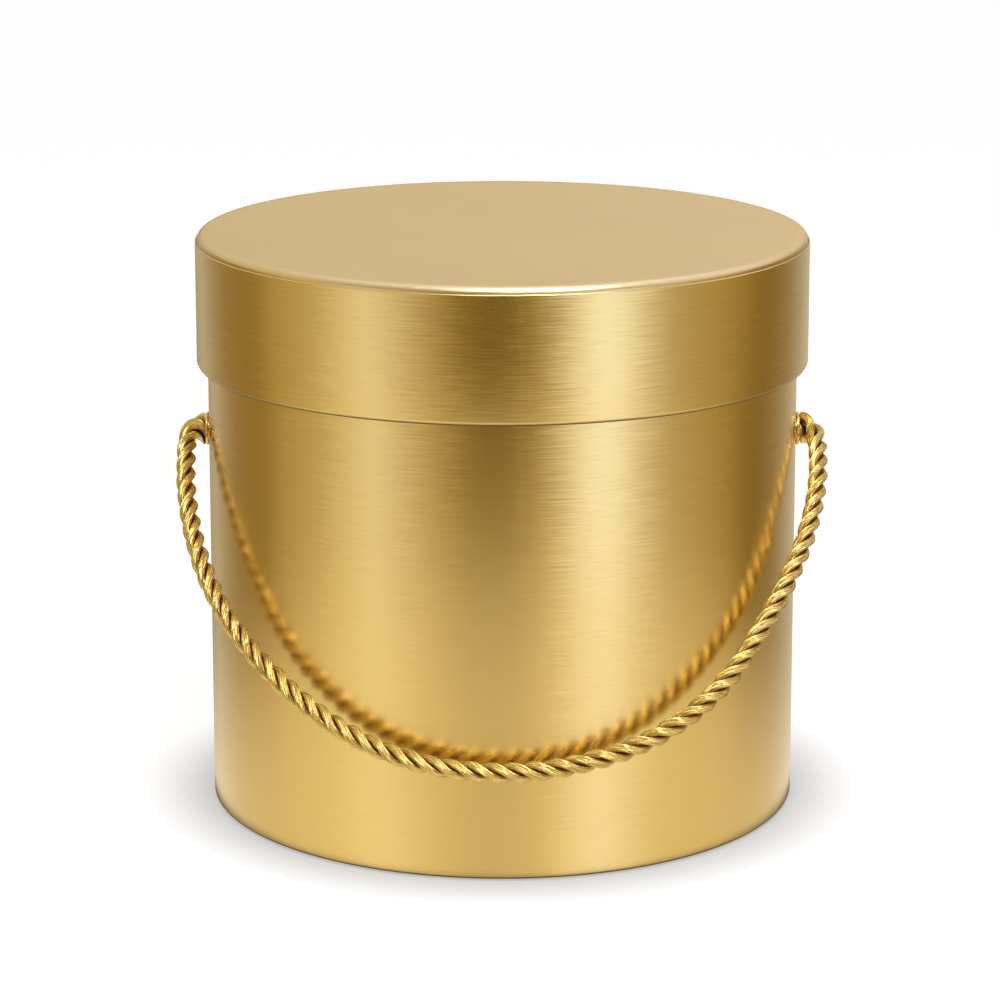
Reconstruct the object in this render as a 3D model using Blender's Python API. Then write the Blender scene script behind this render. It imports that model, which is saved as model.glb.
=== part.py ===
"""Round flower box: a foil-wrapped board tube, a lift-off lid and a twisted cord handle.

Metres, +Z up. The origin is the middle of the underside, and the front faces -Y.
The cord runs out through an eyelet at each side and hangs in front of the box.
"""

import math

import bmesh
import bpy

# Overall sizes
BODY_RADIUS = 0.0964
TOTAL_HEIGHT = 0.1885
LID_DEPTH = 0.0428
LID_CLEARANCE = 0.0006

# Sheet goods
FOIL = 0.0002
LINING = 0.0002
BODY_BOARD = 0.0020
FLOOR_BOARD = 0.0020
LID_BAND_BOARD = 0.0015
LID_TOP_BOARD = 0.0020
GLUE_GAP = 0.0003

# How far each wrap is folded round its board
RIM_TURN_IN = 0.0150
FOOT_TURN_UNDER = 0.0140
BAND_TURN_IN = 0.0150
TOP_TURN_DOWN = 0.0100
EDGE_ROLL = 0.0018
SEAM_DROP = 0.0004
FOOT_ROLL = 0.0008
UNDERSIDE_INSET = 0.0035

# Eyelets, whose common axis runs along X, this far below the foot of the lid
EYELET_DROP = 0.0237
EYELET_BORE_RADIUS = 0.0036
EYELET_WALL = 0.0004
FLANGE_RADIUS = 0.0055
FLANGE_THICKNESS = 0.0010
CURL_RADIUS = 0.0052
CURL_THICKNESS = 0.0008
WASHER_RADIUS = 0.0060
WASHER_THICKNESS = 0.0006

# Cord handle
CORD_DIAMETER = 0.0060
CORD_HANG_ANGLE = math.radians(50)
KNOT_LENGTH = 0.0112
KNOT_RADIUS = 0.0064
KNOT_GROOVE_SHARE = 0.10
TIP_LENGTH = 0.0110
TIP_RADIUS = 0.0031
TIP_ROLL = 0.0012

# Cord route: distance along X, distance from the eyelets' axis down the hanging plane,
# and distance in front of that plane
CORD_ROUTE = (
    (-0.0908, 0.0000, 0.0000),
    (-0.0946, 0.0000, 0.0000),
    (-0.0976, 0.0000, 0.0000),
    (-0.0998, 0.0004, 0.0000),
    (-0.1015, 0.0015, 0.0000),
    (-0.1027, 0.0032, 0.0001),
    (-0.1033, 0.0057, 0.0005),
    (-0.1034, 0.0096, 0.0016),
    (-0.1032, 0.0148, 0.0023),
    (-0.1029, 0.0223, 0.0027),
    (-0.1019, 0.0311, 0.0028),
    (-0.1000, 0.0417, 0.0027),
    (-0.0968, 0.0536, 0.0024),
    (-0.0919, 0.0664, 0.0019),
    (-0.0848, 0.0796, 0.0015),
    (-0.0752, 0.0930, 0.0011),
    (-0.0627, 0.1066, 0.0008),
    (-0.0477, 0.1185, 0.0005),
    (-0.0306, 0.1272, 0.0004),
    (-0.0126, 0.1317, 0.0003),
    (0.0065, 0.1323, 0.0003),
    (0.0251, 0.1290, 0.0003),
    (0.0427, 0.1223, 0.0004),
    (0.0582, 0.1120, 0.0006),
    (0.0707, 0.0985, 0.0009),
    (0.0804, 0.0832, 0.0014),
    (0.0879, 0.0689, 0.0018),
    (0.0940, 0.0552, 0.0023),
    (0.0983, 0.0432, 0.0027),
    (0.1011, 0.0319, 0.0028),
    (0.1027, 0.0219, 0.0027),
    (0.1032, 0.0148, 0.0023),
    (0.1034, 0.0096, 0.0016),
    (0.1033, 0.0057, 0.0005),
    (0.1027, 0.0032, 0.0001),
    (0.1015, 0.0015, 0.0000),
    (0.0998, 0.0004, 0.0000),
    (0.0976, 0.0000, 0.0000),
    (0.0946, 0.0000, 0.0000),
    (0.0908, 0.0000, 0.0000),
)
SAMPLES_PER_SPAN = 2

# Faceting
WALL_SEGMENTS = 64
SMALL_SEGMENTS = 20
ROLL_STEPS = 3
SHARP_ANGLE = math.radians(35)

# A many-sided wall drawn round its circle, so that its flats lie at the stated radius
CORNER_SHARE = 1 / math.cos(math.pi / WALL_SEGMENTS)

# Levels, from the table upwards
FOOT_LEVEL = LINING + GLUE_GAP
BOARD_LEVEL = FOOT_LEVEL + FOIL + GLUE_GAP
FLOOR_LEVEL = BOARD_LEVEL + FLOOR_BOARD + GLUE_GAP
LID_BOARD_TOP = TOTAL_HEIGHT - FOIL - GLUE_GAP
LID_TOP_UNDERSIDE = LID_BOARD_TOP - LID_TOP_BOARD
LID_LINING_LEVEL = LID_TOP_UNDERSIDE - GLUE_GAP - LINING
RIM_LEVEL = LID_LINING_LEVEL - GLUE_GAP
LID_FOOT_LEVEL = TOTAL_HEIGHT - LID_DEPTH
ROLL_CENTRE_LEVEL = TOTAL_HEIGHT - EDGE_ROLL
BAND_TOP_LEVEL = ROLL_CENTRE_LEVEL - SEAM_DROP
EYELET_HEIGHT = LID_FOOT_LEVEL - EYELET_DROP

# Radii of the body wall, outside to inside
BODY_BOARD_OUTER = BODY_RADIUS - FOIL - GLUE_GAP
BODY_BOARD_INNER = BODY_BOARD_OUTER - BODY_BOARD
BODY_LINING_OUTER = BODY_BOARD_INNER - GLUE_GAP
BODY_LINING_INNER = BODY_LINING_OUTER - LINING

# Radii of the lid wall, which slips over the body, inside to outside
LID_LINING_INNER = BODY_RADIUS + LID_CLEARANCE
LID_LINING_OUTER = LID_LINING_INNER + LINING
BAND_BOARD_INNER = LID_LINING_OUTER + GLUE_GAP
BAND_BOARD_OUTER = BAND_BOARD_INNER + LID_BAND_BOARD
TOP_WRAP_OUTER = BAND_BOARD_OUTER + GLUE_GAP + FOIL
LID_RADIUS = TOP_WRAP_OUTER + GLUE_GAP + FOIL

# Eyelet stations, measured outwards from the box's axis
BARREL_RADIUS = EYELET_BORE_RADIUS + EYELET_WALL
EYELET_HOLE_RADIUS = BARREL_RADIUS + GLUE_GAP
FLANGE_SEAT = BODY_RADIUS + GLUE_GAP
FLANGE_FACE = FLANGE_SEAT + FLANGE_THICKNESS
WASHER_SEAT = BODY_LINING_INNER - GLUE_GAP
WASHER_FACE = WASHER_SEAT - WASHER_THICKNESS
CURL_SEAT = WASHER_FACE - GLUE_GAP
CURL_FACE = CURL_SEAT - CURL_THICKNESS
HOLE_OVERRUN = 0.0050

# Cord fittings, measured the same way
KNOT_SEAT = abs(CORD_ROUTE[0][0]) - GLUE_GAP
TIP_SEAT = KNOT_SEAT - KNOT_LENGTH - GLUE_GAP


def clear_scene():
    for obj in list(bpy.data.objects):
        bpy.data.objects.remove(obj, do_unlink=True)


def make_material(name, colour, roughness, metallic):
    material = bpy.data.materials.new(name)
    material.use_nodes = True
    shader = material.node_tree.nodes["Principled BSDF"]
    shader.inputs["Base Color"].default_value = (*colour, 1)
    shader.inputs["Roughness"].default_value = roughness
    shader.inputs["Metallic"].default_value = metallic
    return material


def make_parent(name, location=(0, 0, 0), rotation=(0, 0, 0)):
    parent = bpy.data.objects.new(name, None)
    parent.location = location
    parent.rotation_euler = rotation
    bpy.context.scene.collection.objects.link(parent)
    return parent


def place(obj, material, parent, location=(0, 0, 0), rotation=(0, 0, 0)):
    bpy.context.scene.collection.objects.link(obj)
    obj.location = location
    obj.rotation_euler = rotation
    obj.parent = parent
    if not obj.data.materials:
        obj.data.materials.append(material)
    return obj


def quarter(centre_radius, centre_height, roll, start_angle, steps=ROLL_STEPS):
    """Points on a clockwise quarter circle in the (radius, height) plane."""
    points = []
    for step in range(steps + 1):
        angle = start_angle - step / steps * math.pi / 2
        points.append((centre_radius + roll * math.cos(angle), centre_height + roll * math.sin(angle)))
    return points


def turned_mesh(name, profile, segments, closed=True, corner_share=1.0):
    """A profile of (radius, height) points turned once about Z, with a flat facing each axis."""
    shape = bmesh.new()
    half_step = math.pi / segments
    corners = []
    for radius, height in profile:
        reach = radius * corner_share
        corners.append(shape.verts.new((reach * math.cos(half_step), reach * math.sin(half_step), height)))
    edges = [shape.edges.new(pair) for pair in zip(corners, corners[1:])]
    if closed:
        edges.append(shape.edges.new((corners[-1], corners[0])))
    bmesh.ops.spin(
        shape,
        geom=corners + edges,
        axis=(0, 0, 1),
        cent=(0, 0, 0),
        dvec=(0, 0, 0),
        angle=math.tau,
        steps=segments,
        use_merge=True,
        use_duplicate=False,
    )
    bmesh.ops.remove_doubles(shape, verts=shape.verts, dist=FOIL / segments)
    bmesh.ops.recalc_face_normals(shape, faces=shape.faces)
    mesh = bpy.data.meshes.new(name)
    shape.to_mesh(mesh)
    shape.free()
    mesh.shade_smooth()
    mesh.set_sharp_from_angle(angle=SHARP_ANGLE)
    return mesh


def wall_piece(name, profile, material, parent, closed=True):
    mesh = turned_mesh(name, profile, WALL_SEGMENTS, closed, CORNER_SHARE)
    return place(bpy.data.objects.new(name, mesh), material, parent)


def box_profile(inner, outer, low, high):
    return [(inner, low), (outer, low), (outer, high), (inner, high)]


def disc_profile(radius, low, high):
    return [(0, low), (radius, low), (radius, high), (0, high)]


def make_hole_cutter(parent):
    """One rod along the eyelets' axis, which pierces both sides of every wall it is used on."""
    reach = BODY_RADIUS + HOLE_OVERRUN
    profile = disc_profile(EYELET_HOLE_RADIUS, -reach, reach)
    mesh = turned_mesh("eyelet_hole_cutter", profile, SMALL_SEGMENTS, closed=False)
    cutter = bpy.data.objects.new("eyelet_hole_cutter", mesh)
    bpy.context.scene.collection.objects.link(cutter)
    cutter.location = (0, 0, EYELET_HEIGHT)
    cutter.rotation_euler = (0, math.pi / 2, 0)
    cutter.parent = parent
    cutter.hide_render = True
    cutter.display_type = "WIRE"
    return cutter


def pierce(obj, cutter):
    cut = obj.modifiers.new("eyelet_holes", "BOOLEAN")
    cut.operation = "DIFFERENCE"
    cut.object = cutter


def make_base(parent, foil, board, lining):
    """The open box: board tube and floor, wrapped outside and lined inside."""
    cutter = make_hole_cutter(parent)
    tube = box_profile(BODY_BOARD_INNER, BODY_BOARD_OUTER, BOARD_LEVEL, RIM_LEVEL - FOIL - GLUE_GAP)
    pierce(wall_piece("body_board", tube, board, parent), cutter)
    floor = disc_profile(BODY_BOARD_INNER - GLUE_GAP, BOARD_LEVEL, BOARD_LEVEL + FLOOR_BOARD)
    wall_piece("floor_board", floor, board, parent, closed=False)

    foot_edge = BODY_RADIUS - FOOT_TURN_UNDER
    rim_edge = RIM_LEVEL - RIM_TURN_IN
    wrap = [(foot_edge, FOOT_LEVEL)]
    wrap += reversed(quarter(BODY_RADIUS - FOOT_ROLL, FOOT_LEVEL + FOOT_ROLL, FOOT_ROLL, 0))
    wrap += [
        (BODY_RADIUS, RIM_LEVEL),
        (BODY_LINING_INNER, RIM_LEVEL),
        (BODY_LINING_INNER, rim_edge),
        (BODY_LINING_OUTER, rim_edge),
        (BODY_LINING_OUTER, RIM_LEVEL - FOIL),
        (BODY_RADIUS - FOIL, RIM_LEVEL - FOIL),
    ]
    wrap += quarter(BODY_RADIUS - FOOT_ROLL, FOOT_LEVEL + FOOT_ROLL, FOOT_ROLL - FOIL, 0)
    wrap += [(foot_edge, FOOT_LEVEL + FOIL)]
    pierce(wall_piece("body_foil_wrap", wrap, foil, parent), cutter)

    underside = disc_profile(BODY_RADIUS - UNDERSIDE_INSET, 0, LINING)
    wall_piece("underside_paper", underside, lining, parent, closed=False)
    wall_lining = box_profile(BODY_LINING_INNER, BODY_LINING_OUTER, FLOOR_LEVEL, rim_edge - GLUE_GAP)
    pierce(wall_piece("body_wall_lining", wall_lining, lining, parent), cutter)
    floor_lining = disc_profile(BODY_LINING_INNER - GLUE_GAP, FLOOR_LEVEL, FLOOR_LEVEL + LINING)
    wall_piece("floor_lining", floor_lining, lining, parent, closed=False)


def make_eyelets(parent, brass):
    """Each side has an eyelet pressed through the wall and curled over a washer inside it."""
    barrel_length = FLANGE_FACE - CURL_FACE
    lip = FLANGE_THICKNESS / 2
    eyelet_profile = [(EYELET_BORE_RADIUS, 0), (CURL_RADIUS, 0), (CURL_RADIUS, CURL_THICKNESS)]
    eyelet_profile += [(BARREL_RADIUS, CURL_THICKNESS), (BARREL_RADIUS, FLANGE_SEAT - CURL_FACE)]
    eyelet_profile += [(FLANGE_RADIUS, FLANGE_SEAT - CURL_FACE)]
    eyelet_profile += reversed(quarter(FLANGE_RADIUS - lip, barrel_length - lip, lip, math.pi / 2))
    eyelet_profile += [(BARREL_RADIUS, barrel_length), (EYELET_BORE_RADIUS, barrel_length - EYELET_WALL)]
    eyelet_mesh = turned_mesh("eyelet", eyelet_profile, SMALL_SEGMENTS)
    washer_profile = box_profile(EYELET_HOLE_RADIUS, WASHER_RADIUS, 0, WASHER_THICKNESS)
    washer_mesh = turned_mesh("eyelet_washer", washer_profile, SMALL_SEGMENTS)
    for side, sign in (("left", -1), ("right", 1)):
        outwards = (0, sign * math.pi / 2, 0)
        eyelet = bpy.data.objects.new(f"eyelet_{side}", eyelet_mesh)
        place(eyelet, brass, parent, (sign * CURL_FACE, 0, EYELET_HEIGHT), outwards)
        washer = bpy.data.objects.new(f"eyelet_washer_{side}", washer_mesh)
        place(washer, brass, parent, (sign * WASHER_FACE, 0, EYELET_HEIGHT), outwards)


def make_lid(parent, foil, board, lining):
    """The lid: a board band with a board disc set into it, wrapped by a top sheet and a band sheet."""
    board_roll = EDGE_ROLL - FOIL - GLUE_GAP
    band_board_low = LID_FOOT_LEVEL + FOIL + GLUE_GAP
    band = [(BAND_BOARD_INNER, band_board_low), (BAND_BOARD_OUTER, band_board_low)]
    band += reversed(quarter(BAND_BOARD_OUTER - board_roll, ROLL_CENTRE_LEVEL, board_roll, math.pi / 2))
    band += [(BAND_BOARD_INNER, LID_BOARD_TOP)]
    wall_piece("lid_band_board", band, board, parent)
    top = disc_profile(BAND_BOARD_INNER - GLUE_GAP, LID_TOP_UNDERSIDE, LID_BOARD_TOP)
    wall_piece("lid_top_board", top, board, parent, closed=False)

    skirt = BAND_TOP_LEVEL - TOP_TURN_DOWN
    sheet = [(0, TOTAL_HEIGHT)]
    sheet += quarter(TOP_WRAP_OUTER - EDGE_ROLL, ROLL_CENTRE_LEVEL, EDGE_ROLL, math.pi / 2)
    sheet += [(TOP_WRAP_OUTER, skirt), (TOP_WRAP_OUTER - FOIL, skirt)]
    sheet += reversed(quarter(TOP_WRAP_OUTER - EDGE_ROLL, ROLL_CENTRE_LEVEL, EDGE_ROLL - FOIL, math.pi / 2))
    sheet += [(0, TOTAL_HEIGHT - FOIL)]
    wall_piece("lid_top_foil_wrap", sheet, foil, parent, closed=False)

    turn_in_edge = LID_FOOT_LEVEL + BAND_TURN_IN
    strip = [
        (LID_LINING_INNER, LID_FOOT_LEVEL),
        (LID_RADIUS, LID_FOOT_LEVEL),
        (LID_RADIUS, BAND_TOP_LEVEL),
        (LID_RADIUS - FOIL, BAND_TOP_LEVEL),
        (LID_RADIUS - FOIL, LID_FOOT_LEVEL + FOIL),
        (LID_LINING_OUTER, LID_FOOT_LEVEL + FOIL),
        (LID_LINING_OUTER, turn_in_edge),
        (LID_LINING_INNER, turn_in_edge),
    ]
    wall_piece("lid_band_foil_wrap", strip, foil, parent)

    top_lining = disc_profile(LID_LINING_OUTER, LID_LINING_LEVEL, LID_LINING_LEVEL + LINING)
    wall_piece("lid_top_lining", top_lining, lining, parent, closed=False)
    wall_lining_low = turn_in_edge + GLUE_GAP
    wall_lining_high = LID_LINING_LEVEL - GLUE_GAP
    wall_lining = box_profile(LID_LINING_INNER, LID_LINING_OUTER, wall_lining_low, wall_lining_high)
    wall_piece("lid_wall_lining", wall_lining, lining, parent)


def smooth_route(points, samples):
    """Points on a Catmull-Rom curve through the route's own points."""
    padded = [points[0], *points, points[-1]]
    smooth = []
    for before, start, end, after in zip(padded, padded[1:], padded[2:], padded[3:]):
        for sample in range(samples):
            t = sample / samples
            place_on_curve = []
            for a, b, c, d in zip(before, start, end, after):
                linear = (c - a) * t
                square = (2 * a - 5 * b + 4 * c - d) * t * t
                cube = (3 * b - a - 3 * c + d) * t * t * t
                place_on_curve.append((2 * b + linear + square + cube) / 2)
            smooth.append(tuple(place_on_curve))
    smooth.append(points[-1])
    return smooth


def make_cord(parent, satin):
    """The cord between its two knots, as a plain tube that bows a little out of its hanging plane."""
    route = smooth_route(CORD_ROUTE, SAMPLES_PER_SPAN)
    curve = bpy.data.curves.new("cord_handle", "CURVE")
    curve.dimensions = "3D"
    curve.bevel_depth = CORD_DIAMETER / 2
    curve.bevel_resolution = 2
    curve.use_fill_caps = True
    spline = curve.splines.new("POLY")
    spline.points.add(len(route) - 1)
    for point, (across, drop, bulge) in zip(spline.points, route):
        point.co = (across, -bulge, -drop, 1)
    place(bpy.data.objects.new("cord_handle", curve), satin, parent)


def make_cord_ends(parent, satin, tape):
    """A knot bears on each eyelet inside the box, and a bound tip keeps the end from fraying."""
    cord_radius = CORD_DIAMETER / 2
    knot_steps = 2 * ROLL_STEPS + 2
    knot_profile = [(0, 0), (cord_radius, 0)]
    for step in range(1, knot_steps):
        share = step / knot_steps
        swell = math.sin(share * math.pi) * (1 - KNOT_GROOVE_SHARE * math.sin(share * math.pi) ** 4)
        knot_profile.append((cord_radius + (KNOT_RADIUS - cord_radius) * swell, share * KNOT_LENGTH))
    knot_profile += [(cord_radius, KNOT_LENGTH), (0, KNOT_LENGTH)]
    knot_mesh = turned_mesh("cord_knot", knot_profile, SMALL_SEGMENTS, closed=False)
    tip_profile = [(0, 0)]
    tip_profile += reversed(quarter(TIP_RADIUS - TIP_ROLL, TIP_ROLL, TIP_ROLL, 0))
    tip_profile += [(TIP_RADIUS, TIP_LENGTH), (0, TIP_LENGTH)]
    tip_mesh = turned_mesh("cord_tip", tip_profile, SMALL_SEGMENTS, closed=False)
    for side, sign in (("left", -1), ("right", 1)):
        outwards = (0, sign * math.pi / 2, 0)
        knot = bpy.data.objects.new(f"cord_knot_{side}", knot_mesh)
        place(knot, satin, parent, (sign * (KNOT_SEAT - KNOT_LENGTH), 0, 0), outwards)
        tip = bpy.data.objects.new(f"cord_tip_{side}", tip_mesh)
        place(tip, tape, parent, (sign * (TIP_SEAT - TIP_LENGTH), 0, 0), outwards)


def main():
    clear_scene()
    foil = make_material("brushed_gold_foil", (0.66, 0.47, 0.17), 0.34, 1.0)
    board = make_material("greyboard", (0.42, 0.38, 0.32), 0.90, 0.0)
    lining = make_material("lining_paper", (0.86, 0.82, 0.74), 0.80, 0.0)
    brass = make_material("eyelet_brass", (0.80, 0.56, 0.20), 0.22, 1.0)
    satin = make_material("gold_satin_cord", (0.72, 0.46, 0.13), 0.38, 0.35)
    tape = make_material("binding_tape", (0.80, 0.62, 0.30), 0.30, 0.0)

    base_parent = make_parent("base")
    lid_parent = make_parent("lid")
    handle_parent = make_parent("handle", (0, 0, EYELET_HEIGHT), (-CORD_HANG_ANGLE, 0, 0))
    make_base(base_parent, foil, board, lining)
    make_eyelets(base_parent, brass)
    make_lid(lid_parent, foil, board, lining)
    make_cord(handle_parent, satin)
    make_cord_ends(handle_parent, satin, tape)


main()
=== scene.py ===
"""Looks of the round flower box: brushed foil wraps, paper linings, brass eyelets and a twisted cord.

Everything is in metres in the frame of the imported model: +Z up, the front towards -Y, the eyelets along X.
"""

import math

import bmesh
import bpy
from bpy.props import FloatProperty, FloatVectorProperty, IntProperty, PointerProperty
from mathutils import Matrix, Vector, noise


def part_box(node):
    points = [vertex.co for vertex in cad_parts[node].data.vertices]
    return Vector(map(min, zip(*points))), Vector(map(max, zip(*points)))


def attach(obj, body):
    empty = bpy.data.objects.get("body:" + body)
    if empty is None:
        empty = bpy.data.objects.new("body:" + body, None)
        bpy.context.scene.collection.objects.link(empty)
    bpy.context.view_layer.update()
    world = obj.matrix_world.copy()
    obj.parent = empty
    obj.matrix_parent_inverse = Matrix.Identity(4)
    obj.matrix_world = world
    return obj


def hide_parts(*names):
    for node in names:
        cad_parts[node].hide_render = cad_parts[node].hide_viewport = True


bl_info = {
    "name": "Round Flower Box",
    "version": (1, 0, 0),
    "blender": (4, 5, 0),
    "location": "3D View > Sidebar > Flower Box",
    "description": "Dresses a foil-wrapped round box with its lid, eyelets and twisted cord handle",
    "category": "Add Mesh",
}

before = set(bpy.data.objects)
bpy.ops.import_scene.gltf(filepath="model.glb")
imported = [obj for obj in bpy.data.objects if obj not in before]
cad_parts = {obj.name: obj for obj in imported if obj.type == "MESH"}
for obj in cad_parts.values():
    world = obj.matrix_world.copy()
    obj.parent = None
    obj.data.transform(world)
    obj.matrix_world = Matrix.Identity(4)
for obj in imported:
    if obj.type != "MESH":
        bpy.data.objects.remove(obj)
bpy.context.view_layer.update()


def low_of(node):
    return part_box(node)[0]


def high_of(node):
    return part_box(node)[1]


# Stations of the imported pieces, which the looks are fitted to
BODY_RADIUS = high_of("body_foil_wrap").x
FOOT_LEVEL = low_of("body_foil_wrap").z
RIM_LEVEL = high_of("body_foil_wrap").z
BODY_LINING_RADIUS = high_of("body_wall_lining").x
BODY_LINING_TOP = high_of("body_wall_lining").z

LID_RADIUS = high_of("lid_band_foil_wrap").x
LID_FOOT_LEVEL = low_of("lid_band_foil_wrap").z
BAND_TOP_LEVEL = high_of("lid_band_foil_wrap").z
TOP_SHEET_RADIUS = high_of("lid_top_foil_wrap").x
TOP_SHEET_SKIRT = low_of("lid_top_foil_wrap").z
TOTAL_HEIGHT = high_of("lid_top_foil_wrap").z
LID_LINING_RADIUS = high_of("lid_wall_lining").x
LID_LINING_FOOT = low_of("lid_wall_lining").z

EYELET_FACE = high_of("eyelet_right").x
EYELET_TAIL = low_of("eyelet_right").x
FLANGE_RADIUS = high_of("eyelet_right").y
EYELET_HEIGHT = (low_of("eyelet_right").z + high_of("eyelet_right").z) / 2
WASHER_FACE = low_of("eyelet_washer_right").x
WASHER_SEAT = high_of("eyelet_washer_right").x
WASHER_RADIUS = high_of("eyelet_washer_right").y
KNOT_SEAT = high_of("cord_knot_right").x
KNOT_END = low_of("cord_knot_right").x
KNOT_RADIUS = high_of("cord_knot_right").y
TIP_SEAT = high_of("cord_tip_right").x
TIP_END = low_of("cord_tip_right").x
TIP_RADIUS = high_of("cord_tip_right").y

# The cord's route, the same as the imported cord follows: distance along X, distance from the eyelets' axis
# down the hanging plane, and distance in front of that plane
CORD_HANG_ANGLE = math.radians(50)
CORD_ROUTE = (
    (-0.0908, 0.0000, 0.0000),
    (-0.0946, 0.0000, 0.0000),
    (-0.0976, 0.0000, 0.0000),
    (-0.0998, 0.0004, 0.0000),
    (-0.1015, 0.0015, 0.0000),
    (-0.1027, 0.0032, 0.0001),
    (-0.1033, 0.0057, 0.0005),
    (-0.1034, 0.0096, 0.0016),
    (-0.1032, 0.0148, 0.0023),
    (-0.1029, 0.0223, 0.0027),
    (-0.1019, 0.0311, 0.0028),
    (-0.1000, 0.0417, 0.0027),
    (-0.0968, 0.0536, 0.0024),
    (-0.0919, 0.0664, 0.0019),
    (-0.0848, 0.0796, 0.0015),
    (-0.0752, 0.0930, 0.0011),
    (-0.0627, 0.1066, 0.0008),
    (-0.0477, 0.1185, 0.0005),
    (-0.0306, 0.1272, 0.0004),
    (-0.0126, 0.1317, 0.0003),
    (0.0065, 0.1323, 0.0003),
    (0.0251, 0.1290, 0.0003),
    (0.0427, 0.1223, 0.0004),
    (0.0582, 0.1120, 0.0006),
    (0.0707, 0.0985, 0.0009),
    (0.0804, 0.0832, 0.0014),
    (0.0879, 0.0689, 0.0018),
    (0.0940, 0.0552, 0.0023),
    (0.0983, 0.0432, 0.0027),
    (0.1011, 0.0319, 0.0028),
    (0.1027, 0.0219, 0.0027),
    (0.1032, 0.0148, 0.0023),
    (0.1034, 0.0096, 0.0016),
    (0.1033, 0.0057, 0.0005),
    (0.1027, 0.0032, 0.0001),
    (0.1015, 0.0015, 0.0000),
    (0.0998, 0.0004, 0.0000),
    (0.0976, 0.0000, 0.0000),
    (0.0946, 0.0000, 0.0000),
    (0.0908, 0.0000, 0.0000),
)

# The gap between two pieces that stands for the glue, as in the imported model
GLUE_GAP = 0.0003

SIDES = ("left", "right")
UV_NAME = "UVMap"


def colour_setting(name, description, default):
    return FloatVectorProperty(
        name=name, description=description, subtype="COLOR", default=default, min=0, max=1
    )


def length_setting(name, description, default, least=0.0):
    return FloatProperty(name=name, description=description, default=default, min=least, unit="LENGTH")


def share_setting(name, description, default):
    return FloatProperty(name=name, description=description, default=default, min=0, max=1)


def level_setting(name, description, default):
    return FloatProperty(name=name, description=description, default=default, min=0)


class FoilSettings(bpy.types.PropertyGroup):
    """Brushed gold foil paper that wraps the box and its lid."""

    colour: colour_setting("Foil colour", "Colour of the metallised layer", (0.80, 0.59, 0.155))
    top_colour: colour_setting(
        "Lid top colour", "Colour of the foil on the lid's flat top, a more matt sheet", (0.80, 0.60, 0.25)
    )
    # Painted shade: a dark, non-metallic band of this colour and height round the lid's foot stands in for
    # the shadow in the gap between lid and body.
    painted_shade_colour: colour_setting(
        "Crease colour", "Colour of the paper where the foil is rubbed off along a fold", (0.08, 0.024, 0.0)
    )
    crease: length_setting("Crease height", "Height of the rubbed fold", 0.0006)
    wall_roughness: share_setting("Wall roughness", "Roughness of the foil round the walls", 0.24)
    top_roughness: share_setting("Top roughness", "Roughness of the foil on the lid's top", 0.31)
    brushing: share_setting("Brushing", "How much the highlight is drawn out across the brushing marks", 0.75)
    film: share_setting("Clear film", "Weight of the clear film over the metal", 1.0)
    mark_length: length_setting("Mark length", "Length of a brushing mark", 0.012, 0.001)
    mark_width: length_setting("Mark width", "Width of a brushing mark", 0.00024, 0.00005)
    sheet: length_setting("Foil thickness", "Thickness of the foil paper", 0.0002, 0.00005)
    turn_under: length_setting("Turn-under", "How far the body's sheet is turned in under its foot", 0.014)
    lap: length_setting("Lap", "How far the ends of a wrap overlap at the back", 0.010)
    wall_steps: IntProperty(
        name="Wall steps", description="How many steps a turned wall has round the box", default=256, min=32
    )


class PaperSettings(bpy.types.PropertyGroup):
    """Board and lining paper."""

    lining_colour: colour_setting("Lining colour", "Colour of the lining paper", (0.84, 0.79, 0.70))
    board_colour: colour_setting("Board colour", "Colour of the greyboard", (0.42, 0.38, 0.32))
    fibre: length_setting("Fibre size", "Length of a paper fibre", 0.0016, 0.0001)


class BrassSettings(bpy.types.PropertyGroup):
    """Eyelets and the washers they are curled over."""

    colour: colour_setting("Brass colour", "Colour of the polished brass", (0.83, 0.56, 0.20))
    roughness: share_setting("Polish", "Roughness of the polished brass", 0.20)
    bore: length_setting("Bore radius", "Radius of the eyelet's bore", 0.0036, 0.001)
    wall: length_setting("Barrel wall", "Thickness of the eyelet's metal", 0.0004, 0.0001)
    hole: length_setting("Hole radius", "Radius of the hole in the wall", 0.0043, 0.001)
    curl: length_setting("Curl radius", "Radius of the curl over the washer", 0.0052, 0.001)
    steps: IntProperty(name="Steps", description="Steps round an eyelet", default=64, min=12)


class CordSettings(bpy.types.PropertyGroup):
    """Three-strand twisted satin cord."""

    colour: colour_setting("Satin colour", "Colour of the lit threads", (0.95, 0.66, 0.17))
    # Painted shade: the threads turn to this colour deep between the strands, where shade falls.
    groove_shade_colour: colour_setting(
        "Groove colour", "Colour of the threads deep between the strands", (0.24, 0.080, 0.002)
    )
    tape_colour: colour_setting("Tape colour", "Colour of the tape that binds the ends", (0.75, 0.56, 0.24))
    diameter: length_setting("Diameter", "Diameter over the strands", 0.0062, 0.001)
    lay: length_setting("Lay", "Length in which a strand goes once round", 0.0194, 0.002)
    strand_radius: length_setting(
        "Strand radius", "Radius of a strand's outer face, seen along the cord", 0.00145, 0.0002
    )
    yarn: length_setting("Yarn width", "Width of one yarn on a strand", 0.00060, 0.0001)
    yarn_height: length_setting("Yarn height", "How far a yarn stands out", 0.00011)
    yarn_return: share_setting("Yarn return", "How far the yarns run back as their strand winds on", 0.45)
    spread: share_setting("Spread", "How much wider the strands spread at an eyelet", 0.74)
    mouth: length_setting("Mouth", "How far along the cord its widest place lies", 0.0074)
    spread_inside: length_setting("Spread inside", "Run over which it narrows inwards", 0.0016, 0.0001)
    spread_outside: length_setting("Spread outside", "Run over which it narrows outwards", 0.0085, 0.0001)
    section_points: IntProperty(
        name="Section points", description="Steps across a strand's outer face", default=42, min=8
    )
    ring_spacing: length_setting("Ring spacing", "Distance between rings of the mesh", 0.0006, 0.0002)


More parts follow.
